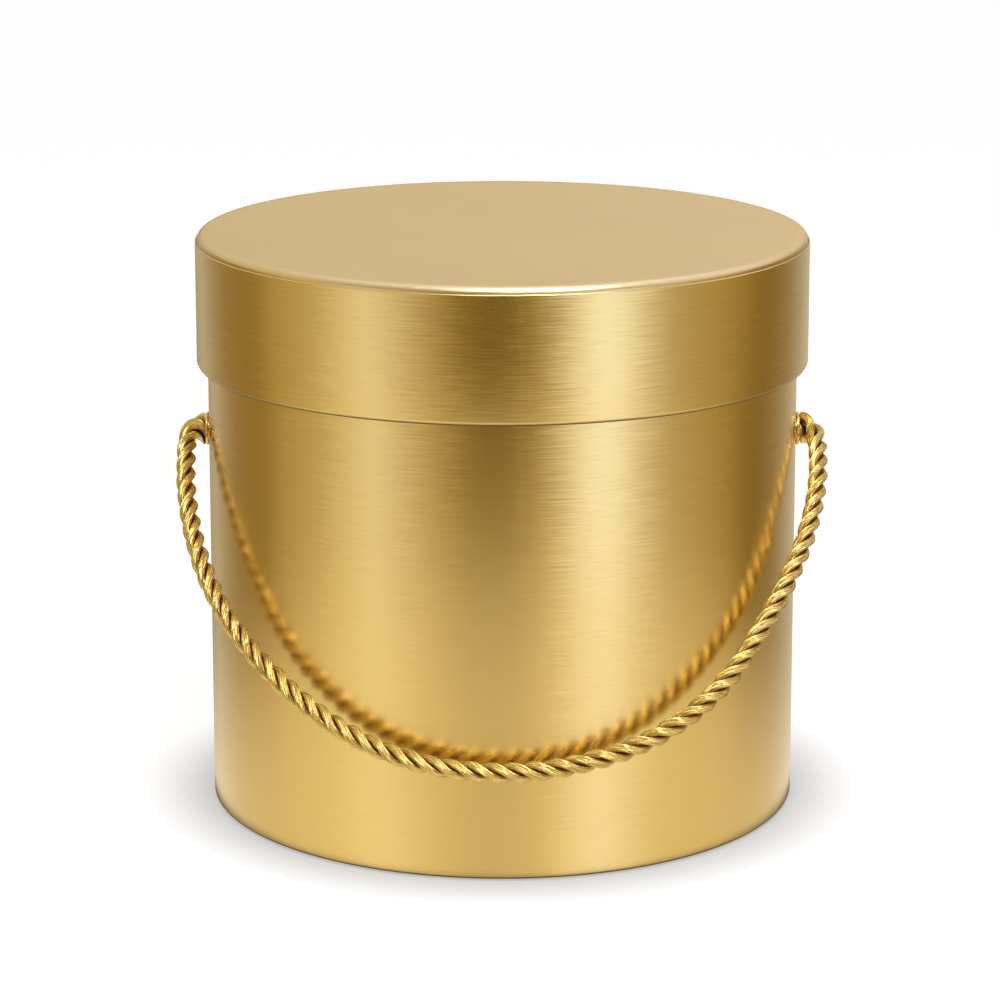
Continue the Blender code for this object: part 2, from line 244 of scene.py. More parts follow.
class StageSettings(bpy.types.PropertyGroup):
    """Camera, floor and studio light. A level of 1 is white."""

    camera_distance: length_setting("Camera distance", "How far in front of the box's axis", 1.1762)
    camera_height: length_setting("Camera height", "Height above the floor", 0.3977)
    camera_pitch: FloatProperty(
        name="Camera pitch", description="How far it looks down", default=math.radians(11.97), subtype="ANGLE"
    )
    camera_lens: FloatProperty(name="Lens", description="Focal length in millimetres", default=131.9, min=10)
    camera_shift_x: FloatProperty(name="Shift X", description="Sideways shift of the frame", default=-0.0024)
    camera_shift_y: FloatProperty(name="Shift Y", description="Upward shift of the frame", default=-0.15)
    left_level: level_setting("Left softbox", "Level of the left softbox", 2.5)
    right_level: level_setting("Right softbox", "Level of the right softbox", 3.0)
    above_level: level_setting("Upper softbox", "Level of the softbox above", 4.0)
    fill_level: level_setting("Fill", "Level of the light from all round", 0.45)
    backdrop_level: level_setting("Backdrop", "Level of the white backdrop", 1.0)
    floor_grey: share_setting("Floor grey", "How much of the light the floor gives back", 0.25)
    floor_lift: level_setting("Floor lift", "Level that the camera sees on the floor beside its light", 0.86)
    contact_depth: share_setting("Contact shadow", "Depth of the shadow close round the foot", 0.5)
    contact_reach: length_setting("Contact reach", "How far the shadow round the foot reaches", 0.036)
    gloss_shade: length_setting(
        "Shade in gloss", "How far from the foot gloss still sees the floor in shade", 0.005
    )
    pool_strength: share_setting(
        "Pool strength", "How much of what gloss sees at the foot is the pool of light", 0.62
    )
    pool_core: length_setting("Pool core", "How far the pool of light stays at its full strength", 0.15)
    pool_radius: length_setting("Pool radius", "How far the pool of light reaches, as gloss sees it", 0.42)
    pool_forward: length_setting("Pool forward", "How far in front of the box's axis the pool lies", 0.20)
    pool_depth: share_setting("Pool depth", "Depth of the pool of light as a share of its width", 0.85)


# Profiles and turned pieces


def draw_profile(shape, corners):
    """A chain of edges through (radius, height, rounding) corners, each rounded by a vertex bevel."""
    chain = [shape.verts.new((radius, 0, height)) for radius, height, _ in corners]
    for pair in zip(chain, chain[1:]):
        shape.edges.new(pair)
    first = chain[0]
    for vert, (_, _, rounding) in zip(chain, corners):
        if rounding:
            bmesh.ops.bevel(
                shape,
                geom=[vert],
                offset=rounding,
                offset_type="OFFSET",
                affect="VERTICES",
                segments=6,
                profile=0.5,
                material=-1,
            )
    return first


def measure_chain(first, layer):
    """Writes each vertex's distance along the chain into a vertex layer."""
    vert, arrived_by, distance = first, None, 0.0
    while True:
        vert[layer] = distance
        onward = [edge for edge in vert.link_edges if edge is not arrived_by]
        if not onward:
            return
        arrived_by = onward[0]
        distance += arrived_by.calc_length()
        vert = arrived_by.other_vert(vert)


def turn_profile(corners, steps):
    """Spins a profile once round Z. Returns the shape and its layer of distances along the profile."""
    shape = bmesh.new()
    along = shape.verts.layers.float.new("along")
    measure_chain(draw_profile(shape, corners), along)
    bmesh.ops.spin(
        shape,
        geom=list(shape.verts) + list(shape.edges),
        axis=(0, 0, 1),
        cent=(0, 0, 0),
        dvec=(0, 0, 0),
        angle=math.tau,
        steps=steps,
        use_merge=True,
        use_duplicate=False,
    )
    return shape, along


def front_turn(point):
    """The angle round the box of a point, from the front towards +X."""
    return math.atan2(point.x, -point.y)


def unroll_wall(shape, along, radius):
    """UV in metres: the first runs round the wall, the second along its section."""
    layer = shape.loops.layers.uv.new(UV_NAME)
    for face in shape.faces:
        middle = front_turn(face.calc_center_median())
        for loop in face.loops:
            turn = front_turn(loop.vert.co)
            turn += math.tau * round((middle - turn) / math.tau)
            loop[layer].uv = (turn * radius, loop.vert[along])


def unroll_disc(shape, along):
    """UV in metres on a sheet that lies flat and is formed down over an edge: the first runs along X."""
    layer = shape.loops.layers.uv.new(UV_NAME)
    for face in shape.faces:
        for loop in face.loops:
            turn = front_turn(loop.vert.co)
            reach = loop.vert[along]
            loop[layer].uv = (reach * math.sin(turn), -reach * math.cos(turn))


def close_shape(shape):
    """Merges what lies together, such as a pole or a section's two ends, and points the faces outwards."""
    bmesh.ops.remove_doubles(shape, verts=shape.verts, dist=0.000002)
    bmesh.ops.dissolve_degenerate(shape, edges=shape.edges, dist=0.000001)
    bmesh.ops.recalc_face_normals(shape, faces=shape.faces)


def mark_painted_shade(shape, level, fade, inner_radius):
    """Marks a band along an outer edge up to a level, where the foil is painted dark as shade."""
    crease = shape.verts.layers.float.new("crease")
    for vert in shape.verts:
        if Vector(vert.co.xy).length > inner_radius:
            vert[crease] = min(1.0, max(0.0, (level + fade - vert.co.z) / fade))


def make_piece(name, shape, material, body, replaced=()):
    """Turns a bmesh into a piece that rides on a body and stands for the named nodes."""
    mesh = bpy.data.meshes.new(name)
    shape.to_mesh(mesh)
    shape.free()
    mesh.shade_smooth()
    mesh.set_sharp_from_angle(angle=math.radians(40))
    mesh.materials.append(material)
    piece = bpy.data.objects.new(name, mesh)
    bpy.context.scene.collection.objects.link(piece)
    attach(piece, body)
    if replaced:
        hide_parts(*replaced)
    return piece


def punch_eyelet_holes(piece, radius, steps):
    """Cuts the two eyelet holes through a wall with one rod along the eyelets' axis."""
    rod = bmesh.new()
    bmesh.ops.create_cone(
        rod,
        cap_ends=True,
        segments=steps,
        radius1=radius,
        radius2=radius,
        depth=3 * BODY_RADIUS,
        matrix=Matrix.Translation((0, 0, EYELET_HEIGHT)) @ Matrix.Rotation(math.pi / 2, 4, "Y"),
    )
    mesh = bpy.data.meshes.new("eyelet_hole_rod")
    rod.to_mesh(mesh)
    rod.free()
    cutter = bpy.data.objects.new("eyelet_hole_rod", mesh)
    bpy.context.scene.collection.objects.link(cutter)
    cut = piece.modifiers.new("eyelet_holes", "BOOLEAN")
    cut.operation = "DIFFERENCE"
    cut.object = cutter
    depsgraph = bpy.context.evaluated_depsgraph_get()
    pierced = bpy.data.meshes.new_from_object(piece.evaluated_get(depsgraph), depsgraph=depsgraph)
    piece.modifiers.clear()
    piece.data = pierced
    bpy.data.objects.remove(cutter, do_unlink=True)
    bpy.data.meshes.remove(mesh)


# Nodes


def feed(tree, socket, value):
    """Links a socket to another one, or sets its value."""
    if isinstance(value, bpy.types.NodeSocket):
        tree.links.new(value, socket)
    else:
        socket.default_value = value


def feed_all(tree, node, inputs):
    """Feeds a node's inputs by their names."""
    for name, value in inputs.items():
        feed(tree, node.inputs[name], value)


def add_node(tree, kind, inputs=None, **settings):
    """A node with its settings and its inputs."""
    made = tree.nodes.new(kind)
    for name, value in settings.items():
        setattr(made, name, value)
    feed_all(tree, made, inputs or {})
    return made


def calculate(tree, operation, *values):
    """The result of one Math node."""
    made = add_node(tree, "ShaderNodeMath", operation=operation)
    for socket, value in zip(made.inputs, values):
        feed(tree, socket, value)
    return made.outputs[0]


def combine(tree, operation, *vectors):
    """The outputs of one Vector Math node."""
    made = add_node(tree, "ShaderNodeVectorMath", operation=operation)
    for socket, vector in zip(made.inputs, vectors):
        feed(tree, socket, vector)
    return made.outputs


def blend_colours(tree, share, first, second):
    """Goes from the first colour to the second as the share goes from 0 to 1."""
    made = add_node(tree, "ShaderNodeMix", data_type="RGBA")
    share_socket, first_socket, second_socket, colour_output = 0, 6, 7, 2
    feed(tree, made.inputs[share_socket], share)
    feed(tree, made.inputs[first_socket], first)
    feed(tree, made.inputs[second_socket], second)
    return made.outputs[colour_output]


def blend_shaders(tree, share, first, second):
    """Goes from the first shader to the second as the share goes from 0 to 1."""
    made = add_node(tree, "ShaderNodeMixShader", {"Fac": share})
    tree.links.new(first, made.inputs[1])
    tree.links.new(second, made.inputs[2])
    return made.outputs["Shader"]


def spread_value(tree, value, low, high):
    """Maps 0 to 1 onto low to high."""
    made = add_node(tree, "ShaderNodeMapRange", {"Value": value, "To Min": low, "To Max": high})
    return made.outputs["Result"]


def fade_in(tree, value, start, full):
    """Goes softly from 0 to 1 as the value goes from its start to its full one."""
    inputs = {"Value": value, "From Min": start, "From Max": full}
    return add_node(tree, "ShaderNodeMapRange", inputs, interpolation_type="SMOOTHSTEP").outputs["Result"]


def add_noise(tree, vector, scale, **inputs):
    """The level of one noise field."""
    return add_node(tree, "ShaderNodeTexNoise", {"Vector": vector, "Scale": scale, **inputs}).outputs["Fac"]


def raise_bump(tree, height, distance, strength):
    """The normal of a surface that stands up by a height."""
    inputs = {"Height": height, "Distance": distance, "Strength": strength}
    return add_node(tree, "ShaderNodeBump", inputs).outputs["Normal"]


def shade(colour, share):
    """A colour made lighter or darker, with full alpha."""
    return (*(min(1.0, part * share) for part in colour), 1.0)


def new_group(name, inputs, outputs):
    """An empty node group with named float, vector or colour sockets."""
    group = bpy.data.node_groups.new(name, "ShaderNodeTree")
    for in_out, sockets in (("INPUT", inputs), ("OUTPUT", outputs)):
        for socket, kind in sockets.items():
            group.interface.new_socket(name=socket, in_out=in_out, socket_type=f"NodeSocket{kind}")
    return group, group.nodes.new("NodeGroupInput").outputs, group.nodes.new("NodeGroupOutput")


def place_group(tree, group, inputs):
    """The outputs of a node group placed in a tree."""
    return add_node(tree, "ShaderNodeGroup", inputs, node_tree=group).outputs


def brushing_group():
    """Brushing marks along the first UV axis: a tone for colour and roughness, and a tilted normal."""
    name = "brushing_marks"
    if name in bpy.data.node_groups:
        return bpy.data.node_groups[name]
    inputs = {"Vector": "Vector", "Length": "Float", "Width": "Float", "Tilt": "Float"}
    group, given, result = new_group(name, inputs, {"Tone": "Float", "Normal": "Vector"})
    along = calculate(group, "DIVIDE", 1.0, given["Length"])
    across = calculate(group, "DIVIDE", 1.0, given["Width"])
    stretch = add_node(group, "ShaderNodeCombineXYZ", {"X": along, "Y": across, "Z": 1.0}).outputs["Vector"]
    laid = combine(group, "MULTIPLY", given["Vector"], stretch)["Vector"]
    marks = add_noise(group, laid, 1.0, Detail=2.5, Roughness=0.6)
    elsewhere = combine(group, "ADD", laid, (31.7, 11.3, 5.1))["Vector"]
    sway = add_noise(group, elsewhere, 0.8, Detail=1.5, Roughness=0.5)
    leans = [
        calculate(group, "MULTIPLY_ADD", calculate(group, "SUBTRACT", field, 0.5), given["Tilt"], 0.5)
        for field in (sway, marks)
    ]
    lean = add_node(group, "ShaderNodeCombineXYZ", {"X": leans[0], "Y": leans[1], "Z": 1.0}).outputs["Vector"]
    normal = add_node(group, "ShaderNodeNormalMap", {"Color": lean}, uv_map=UV_NAME).outputs["Normal"]
    feed_all(group, result, {"Tone": marks, "Normal": normal})
    return group


def fibre_group():
    """Paper fibres: a soft cloud of tone and a fine felted height."""
    name = "paper_fibres"
    if name in bpy.data.node_groups:
        return bpy.data.node_groups[name]
    inputs = {"Vector": "Vector", "Fibre": "Float"}
    group, given, result = new_group(name, inputs, {"Tone": "Float", "Height": "Float"})
    per_fibre = calculate(group, "DIVIDE", 1.0, given["Fibre"])
    per_cloud = calculate(group, "MULTIPLY", per_fibre, 0.08)
    felt = add_noise(group, given["Vector"], per_fibre, Detail=6.0, Roughness=0.7, Distortion=1.2)
    cloud = add_noise(group, given["Vector"], per_cloud, Detail=3.0)
    tone = calculate(group, "MULTIPLY_ADD", felt, 0.5, calculate(group, "MULTIPLY", cloud, 0.5))
    feed_all(group, result, {"Tone": tone, "Height": felt})
    return group


# Materials


def new_material(name, constants):
    """A material whose own shader sockets hold these constants. Returns it, its tree and its shader."""
    material = bpy.data.materials.new(name)
    material.use_nodes = True
    shader = material.node_tree.nodes["Principled BSDF"]
    feed_all(material.node_tree, shader, constants)
    return material, material.node_tree, shader


def brushed_foil(name, colour, roughness, foil, tilt):
    """Gold foil paper, brushed along the first UV axis, under a thin clear film."""
    if name in bpy.data.materials:
        return bpy.data.materials[name]
    constants = {
        "Anisotropic": foil.brushing,
        "Anisotropic Rotation": 0.25,
        "Coat Roughness": 0.20,
        "Coat IOR": 1.9,
    }
    material, tree, shader = new_material(name, constants)
    uv = add_node(tree, "ShaderNodeUVMap", uv_map=UV_NAME).outputs["UV"]
    inputs = {"Vector": uv, "Length": foil.mark_length, "Width": foil.mark_width, "Tilt": tilt}
    marks = place_group(tree, brushing_group(), inputs)
    cloud = add_noise(tree, uv, 14.0, Detail=3.0, Roughness=0.5)
    tone = calculate(tree, "MULTIPLY_ADD", marks["Tone"], 0.7, calculate(tree, "MULTIPLY", cloud, 0.3))
    # Painted shade: in the marked band round the lid's foot the foil turns dark, without metal or film, for
    # the shadow between lid and body.
    crease = add_node(tree, "ShaderNodeAttribute", attribute_name="crease").outputs["Fac"]
    outside_painted_shade = calculate(tree, "SUBTRACT", 1.0, crease)
    foil_tone = blend_colours(tree, tone, shade(colour, 0.86), shade(colour, 1.12))
    tangent = add_node(tree, "ShaderNodeTangent", direction_type="UV_MAP", uv_map=UV_NAME)
    looks = {
        "Base Color": blend_colours(tree, crease, foil_tone, shade(foil.painted_shade_colour, 1)),
        "Metallic": outside_painted_shade,
        "Coat Weight": calculate(tree, "MULTIPLY", outside_painted_shade, foil.film),
        "Roughness": spread_value(tree, tone, roughness - 0.06, roughness + 0.06),
        "Normal": marks["Normal"],
        "Tangent": tangent.outputs["Tangent"],
    }
    feed_all(tree, shader, looks)
    return material


def wall_foil(context):
    foil = context.scene.flower_box_foil
    return brushed_foil("gold_foil_wall", foil.colour, foil.wall_roughness, foil, tilt=0.10)


def top_foil(context):
    foil = context.scene.flower_box_foil
    return brushed_foil("gold_foil_top", foil.top_colour, foil.top_roughness, foil, tilt=0.12)


def fibrous_material(name, colour, roughness, fibre, contrast, depth):
    """Paper or board: felted fibres with a little colour between them."""
    if name in bpy.data.materials:
        return bpy.data.materials[name]
    material, tree, shader = new_material(name, {"Sheen Weight": 0.1})
    place = add_node(tree, "ShaderNodeTexCoord").outputs["Object"]
    fibres = place_group(tree, fibre_group(), {"Vector": place, "Fibre": fibre})
    tone = fibres["Tone"]
    looks = {
        "Base Color": blend_colours(tree, tone, shade(colour, 1 - contrast), shade(colour, 1 + contrast)),
        "Roughness": spread_value(tree, tone, roughness - 0.08, roughness + 0.08),
        "Normal": raise_bump(tree, fibres["Height"], depth, 0.6),
    }
    feed_all(tree, shader, looks)
    return material


def lining_paper(context):
    paper = context.scene.flower_box_paper
    colour, fibre = paper.lining_colour, paper.fibre
    return fibrous_material("felted_lining_paper", colour, 0.82, fibre, contrast=0.06, depth=0.00008)


def greyboard(context):
    paper = context.scene.flower_box_paper
    colour, fibre = paper.board_colour, 1.5 * paper.fibre
    return fibrous_material("felted_greyboard", colour, 0.92, fibre, contrast=0.25, depth=0.00015)


def polished_brass(context):
    """Pressed brass with fine handling scratches."""
    name = "polished_brass"
    if name in bpy.data.materials:
        return bpy.data.materials[name]
    brass = context.scene.flower_box_brass
    material, tree, shader = new_material(name, {"Metallic": 1.0})
    place = add_node(tree, "ShaderNodeTexCoord").outputs["Object"]
    scratches = add_noise(tree, place, 900.0, Detail=5.0, Roughness=0.7, Distortion=2.0)
    looks = {
        "Base Color": blend_colours(tree, scratches, shade(brass.colour, 0.85), shade(brass.colour, 1.1)),
        "Roughness": spread_value(tree, scratches, brass.roughness - 0.06, brass.roughness + 0.10),
        "Normal": raise_bump(tree, scratches, 0.00002, 0.4),
    }
    feed_all(tree, shader, looks)
    return material


def satin_thread(context):
    """Satin yarns along the first UV axis, with painted shade down in the grooves between the strands."""
    name = "laid_satin_thread"
    if name in bpy.data.materials:
        return bpy.data.materials[name]
    cord = context.scene.flower_box_cord
    constants = {"Metallic": 0.92, "Coat Weight": 0.6, "Coat Roughness": 0.2}
    material, tree, shader = new_material(name, constants)
    uv = add_node(tree, "ShaderNodeUVMap", uv_map=UV_NAME).outputs["UV"]
    inputs = {"Vector": uv, "Length": 0.0035, "Width": 0.00026, "Tilt": 0.7}
    marks = place_group(tree, brushing_group(), inputs)
    # Painted shade: the groove layer darkens the threads deep between the strands.
    groove = add_node(tree, "ShaderNodeAttribute", attribute_name="groove").outputs["Fac"]
    threads = blend_colours(tree, marks["Tone"], shade(cord.colour, 0.50), shade(cord.colour, 1.16))
    looks = {
        "Base Color": blend_colours(tree, groove, threads, shade(cord.groove_shade_colour, 1)),
        "Roughness": spread_value(tree, marks["Tone"], 0.20, 0.34),
        "Normal": marks["Normal"],
    }
    feed_all(tree, shader, looks)
    return material


def binding_tape(context):
    """Thin glossy tape wound round the cord's end."""
    name = "wound_tape"
    if name in bpy.data.materials:
        return bpy.data.materials[name]
    colour = context.scene.flower_box_cord.tape_colour
    material, tree, shader = new_material(name, {"Coat Weight": 0.6, "Coat Roughness": 0.15})
    place = add_node(tree, "ShaderNodeTexCoord").outputs["Object"]
    wrinkles = add_noise(tree, place, 700.0, Detail=4.0)
    looks = {
        "Base Color": blend_colours(tree, wrinkles, shade(colour, 0.9), shade(colour, 1.1)),
        "Roughness": spread_value(tree, wrinkles, 0.25, 0.4),
        "Normal": raise_bump(tree, wrinkles, 0.00005, 0.5),
    }
    feed_all(tree, shader, looks)
    return material


# Wraps and linings


def raise_overlap(shape, radius, foil):
    """Where a wrap's ends overlap at the back, the outer end stands one sheet proud and stops in a step."""
    step = 0.0002
    edge, run_out = foil.lap / 2, 2 * foil.lap
    for across in (edge, edge + step):
        bmesh.ops.bisect_plane(
            shape,
            geom=list(shape.verts) + list(shape.edges) + list(shape.faces),
            plane_co=(across, 0, 0),
            plane_no=(1, 0, 0),
        )
    for vert in shape.verts:
        distance = Vector(vert.co.xy).length
        at_back = vert.co.y > 0 and distance > radius - foil.sheet / 2
        if at_back and -run_out < vert.co.x < edge + step / 2:
            share = min(1.0, (vert.co.x + run_out) / run_out)
            lift = 0.8 * foil.sheet * share * share * (3 - 2 * share)
            vert.co.xy *= (distance + lift) / distance


def ripple_edge(shape, level, radius, height, spacing):
    """Lets a folded edge wander up and down a little, as a hand-folded sheet does."""
    for vert in shape.verts:
        if vert.co.z > level:
            turn = front_turn(vert.co)
            where = Vector((math.cos(turn), math.sin(turn), 0)) * (radius / spacing)
            vert.co.z += height * noise.noise(where)


def lay_disc(context, name, node, body):
    """A flat disc of lining paper in the place of a node."""
    radius, low, high = high_of(node).x, low_of(node).z, high_of(node).z
    corners = [(0, low, 0), (radius, low, 0), (radius, high, 0), (0, high, 0)]
    shape, along = turn_profile(corners, context.scene.flower_box_foil.wall_steps)
    unroll_disc(shape, along)
    close_shape(shape)
    return make_piece(name, shape, lining_paper(context), body, [node])


def line_wall(context, name, node, body):
    """A sheet of lining paper round the inside of a wall, in the place of a node."""
    foil = context.scene.flower_box_foil
    outer, low, high = high_of(node).x, low_of(node).z, high_of(node).z
    inner = outer - foil.sheet
    corners = [(inner, low, 0), (outer, low, 0), (outer, high, 0), (inner, high, 0), (inner, low, 0)]
    shape, along = turn_profile(corners, foil.wall_steps)
    unroll_wall(shape, along, outer)
    close_shape(shape)
    return make_piece(name, shape, lining_paper(context), body, [node])


class FLOWERBOX_OT_body_wrap(bpy.types.Operator):
    """Foil round the body, over the rim and under the foot"""

    bl_idname = "flowerbox.body_wrap"
    bl_label = "Body wrap"

    def execute(self, context):
        foil = context.scene.flower_box_foil
        brass = context.scene.flower_box_brass
        sheet = foil.sheet
        foot_edge = BODY_RADIUS - foil.turn_under
        inner = BODY_LINING_RADIUS - sheet
        turn_in = BODY_LINING_TOP + GLUE_GAP
        foot_roll, rim_roll = 0.0009, 0.0010
        corners = [
            (foot_edge, FOOT_LEVEL, 0),
            (BODY_RADIUS, FOOT_LEVEL, foot_roll),
            (BODY_RADIUS, RIM_LEVEL, rim_roll),
            (inner, RIM_LEVEL, rim_roll),
            (inner, turn_in, 0),
            (BODY_LINING_RADIUS, turn_in, 0),
            (BODY_LINING_RADIUS, RIM_LEVEL - sheet, rim_roll - sheet),
            (BODY_RADIUS - sheet, RIM_LEVEL - sheet, rim_roll - sheet),
            (BODY_RADIUS - sheet, FOOT_LEVEL + sheet, foot_roll - sheet),
            (foot_edge, FOOT_LEVEL + sheet, 0),
            (foot_edge, FOOT_LEVEL, 0),
        ]
        shape, along = turn_profile(corners, foil.wall_steps)
        unroll_wall(shape, along, BODY_RADIUS)
        close_shape(shape)
        raise_overlap(shape, BODY_RADIUS, foil)
        piece = make_piece("body_wrap", shape, wall_foil(context), "base", ["body_foil_wrap"])
        punch_eyelet_holes(piece, brass.hole, brass.steps)
        return {"FINISHED"}


class FLOWERBOX_OT_body_linings(bpy.types.Operator):
    """Paper inside the body and under its foot"""

    bl_idname = "flowerbox.body_linings"
    bl_label = "Body linings"

    def execute(self, context):
        brass = context.scene.flower_box_brass
        piece = line_wall(context, "body_wall_paper", "body_wall_lining", "base")
        punch_eyelet_holes(piece, brass.hole, brass.steps)
        lay_disc(context, "floor_paper", "floor_lining", "base")
        lay_disc(context, "foot_paper", "underside_paper", "base")
        return {"FINISHED"}


class FLOWERBOX_OT_lid_wraps(bpy.types.Operator):
    """The lid's top sheet, rolled over its rim, and the strip round its band"""

    bl_idname = "flowerbox.lid_wraps"
    bl_label = "Lid wraps"

    def execute(self, context):
        foil = context.scene.flower_box_foil
        sheet = foil.sheet
        roll = TOTAL_HEIGHT - BAND_TOP_LEVEL
        top = [
            (0, TOTAL_HEIGHT, 0),
            (TOP_SHEET_RADIUS - 2 * roll, TOTAL_HEIGHT, 0),
            (TOP_SHEET_RADIUS, TOTAL_HEIGHT, roll),
            (TOP_SHEET_RADIUS, TOP_SHEET_SKIRT, 0),
            (TOP_SHEET_RADIUS - sheet, TOP_SHEET_SKIRT, 0),
            (TOP_SHEET_RADIUS - sheet, TOTAL_HEIGHT - sheet, roll - sheet),
            (0, TOTAL_HEIGHT - sheet, 0),
        ]
        shape, along = turn_profile(top, foil.wall_steps)
        unroll_disc(shape, along)
        close_shape(shape)
        make_piece("lid_top_sheet", shape, top_foil(context), "lid", ["lid_top_foil_wrap"])

        inner = LID_LINING_RADIUS - sheet
        turn_in = LID_LINING_FOOT - GLUE_GAP
        fold = 2 * sheet
        foot_roll, inner_roll = 0.0015, 0.0009
        strip = [
            (LID_RADIUS - fold, BAND_TOP_LEVEL, 0),
            (LID_RADIUS, BAND_TOP_LEVEL, 0.9 * fold),
            (LID_RADIUS, LID_FOOT_LEVEL, foot_roll),
            (inner, LID_FOOT_LEVEL, inner_roll),
            (inner, turn_in, 0),
            (LID_LINING_RADIUS, turn_in, 0),
            (LID_LINING_RADIUS, LID_FOOT_LEVEL + sheet, inner_roll - sheet),
            (LID_RADIUS - fold, LID_FOOT_LEVEL + sheet, inner_roll),
            (LID_RADIUS - fold, BAND_TOP_LEVEL, 0),
        ]
        shape, along = turn_profile(strip, foil.wall_steps)
        unroll_wall(shape, along, LID_RADIUS)
        close_shape(shape)
        raise_overlap(shape, LID_RADIUS, foil)
        ripple_edge(shape, BAND_TOP_LEVEL - 0.001, LID_RADIUS, height=0.00012, spacing=0.006)
        # Painted shade round the lid's foot, for the shadow in the gap between lid and body.
        outer_edge = LID_RADIUS - 2 * foot_roll
        mark_painted_shade(shape, LID_FOOT_LEVEL + foil.crease, fade=0.0003, inner_radius=outer_edge)
        make_piece("lid_band_strip", shape, wall_foil(context), "lid", ["lid_band_foil_wrap"])
        return {"FINISHED"}


class FLOWERBOX_OT_lid_linings(bpy.types.Operator):
    """Paper inside the lid"""

    bl_idname = "flowerbox.lid_linings"
    bl_label = "Lid linings"

    def execute(self, context):
        line_wall(context, "lid_wall_paper", "lid_wall_lining", "lid")
        lay_disc(context, "lid_top_paper", "lid_top_lining", "lid")
        return {"FINISHED"}


class FLOWERBOX_OT_boards(bpy.types.Operator):
    """Greyboard for the four boards, which keep their own shape"""

    bl_idname = "flowerbox.boards"
    bl_label = "Boards"

    def execute(self, context):
        for node in ("body_board", "floor_board", "lid_band_board", "lid_top_board"):
            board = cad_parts[node]
            board.data.materials.clear()
            board.data.materials.append(greyboard(context))
        return {"FINISHED"}


def lay_along_x(shape, sign):
    """Turns a shape that was spun round Z onto the eyelets' axis, with its top outwards."""
    outwards = Matrix.Rotation(sign * math.pi / 2, 4, "Y")
    place = Matrix.Translation((0, 0, EYELET_HEIGHT)) @ outwards
    bmesh.ops.transform(shape, matrix=place, verts=shape.verts)


class FLOWERBOX_OT_eyelets(bpy.types.Operator):
    """Brass eyelets with a domed flange outside, and a curl over a washer inside"""

    bl_idname = "flowerbox.eyelets"
    bl_label = "Eyelets"

    def execute(self, context):
        brass = context.scene.flower_box_brass
        metal = polished_brass(context)
        seat = BODY_RADIUS + GLUE_GAP
        dome = EYELET_FACE - seat
        barrel = brass.bore + brass.wall
        curl_face = WASHER_FACE - GLUE_GAP
        curl = curl_face - EYELET_TAIL
        eyelet = [
            (brass.bore, EYELET_TAIL + 0.9 * curl, 0),
            (brass.bore, EYELET_TAIL, 0.7 * curl),
            (brass.curl, EYELET_TAIL, 0.6 * curl),
            (brass.curl, curl_face, 0.3 * curl),
            (barrel, curl_face, 0),
            (barrel, seat, 0),
            (FLANGE_RADIUS, seat, 0.0003),
            (FLANGE_RADIUS, EYELET_FACE, 0.6 * dome),
            (brass.bore, EYELET_FACE, 0.7 * dome),
            (brass.bore, EYELET_TAIL + curl, 0),
            (brass.bore, EYELET_TAIL + 0.9 * curl, 0),
        ]
        washer = [
            (brass.hole, WASHER_FACE, 0),
            (WASHER_RADIUS, WASHER_FACE, 0.0002),
            (WASHER_RADIUS, WASHER_SEAT, 0.0001),
            (brass.hole, WASHER_SEAT, 0),
            (brass.hole, WASHER_FACE, 0),
        ]
        kinds = (("brass_eyelet", eyelet, "eyelet"), ("brass_washer", washer, "eyelet_washer"))
        for side, sign in zip(SIDES, (-1, 1)):
            for name, corners, node in kinds:
                shape, _ = turn_profile(corners, brass.steps)
                close_shape(shape)
                lay_along_x(shape, sign)
                make_piece(f"{name}_{side}", shape, metal, "base", [f"{node}_{side}"])
        return {"FINISHED"}


# Cord


STRANDS = 3


def smooth_curve(points, samples):
    """Points on a Catmull-Rom curve through the given points."""
    padded = [points[0], *points, points[-1]]
    smooth = []
    for before, start, end, after in zip(padded, padded[1:], padded[2:], padded[3:]):
        for sample in range(samples):
            t = sample / samples
            linear = (end - before) * t
            square = (2 * before - 5 * start + 4 * end - after) * t * t
            cube = (3 * start - before - 3 * end + after) * t * t * t
            smooth.append((2 * start + linear + square + cube) / 2)
    smooth.append(points[-1])
    return smooth


def space_evenly(points, spacing):
    """The same line with its points the same distance apart."""
    lengths = [0.0]
    for start, end in zip(points, points[1:]):
        lengths.append(lengths[-1] + (end - start).length)
    count = max(2, round(lengths[-1] / spacing))
    spaced, index = [], 0
    for step in range(count + 1):
        wanted = lengths[-1] * step / count
        while index < len(points) - 2 and lengths[index + 1] < wanted:
            index += 1
        share = (wanted - lengths[index]) / (lengths[index + 1] - lengths[index])
        spaced.append(points[index].lerp(points[index + 1], min(1.0, share)))
    return spaced, lengths[-1]


def carry_frames(points, start_normal):
    """A normal and a binormal at each point, carried along the line without twist."""
    frames = []
    normal = start_normal.copy()
    for index, point in enumerate(points):
        before, after = points[max(0, index - 1)], points[min(len(points) - 1, index + 1)]
        tangent = (after - before).normalized()
        normal = (normal - tangent * normal.dot(tangent)).normalized()
        frames.append((point, normal, tangent.cross(normal)))
    return frames


def strand_section(reach, strand_radius, points):
    """One strand's section as (turn, radius, depth in the groove): a round face, flat sides, the core."""
    centre = reach - strand_radius
    half_sector = math.pi / 3 - 0.015
    groove_start = 0.47
    section = []
    for step in range(points + 1):
        turn = half_sector * (2 * step / points - 1)
        radius = centre * math.cos(turn) + math.sqrt(strand_radius**2 - (centre * math.sin(turn)) ** 2)
        depth = (max(0.0, abs(turn) / half_sector - groove_start) / (1 - groove_start)) ** 1.2
        section.append((turn, radius, depth))
    flank, core = 0.5 * section[-1][1], 0.12 * section[-1][1]
    section += [(half_sector, flank, 1.0), (0.0, core, 1.0), (-half_sector, flank, 1.0)]
    section.append(section[0])
    return section


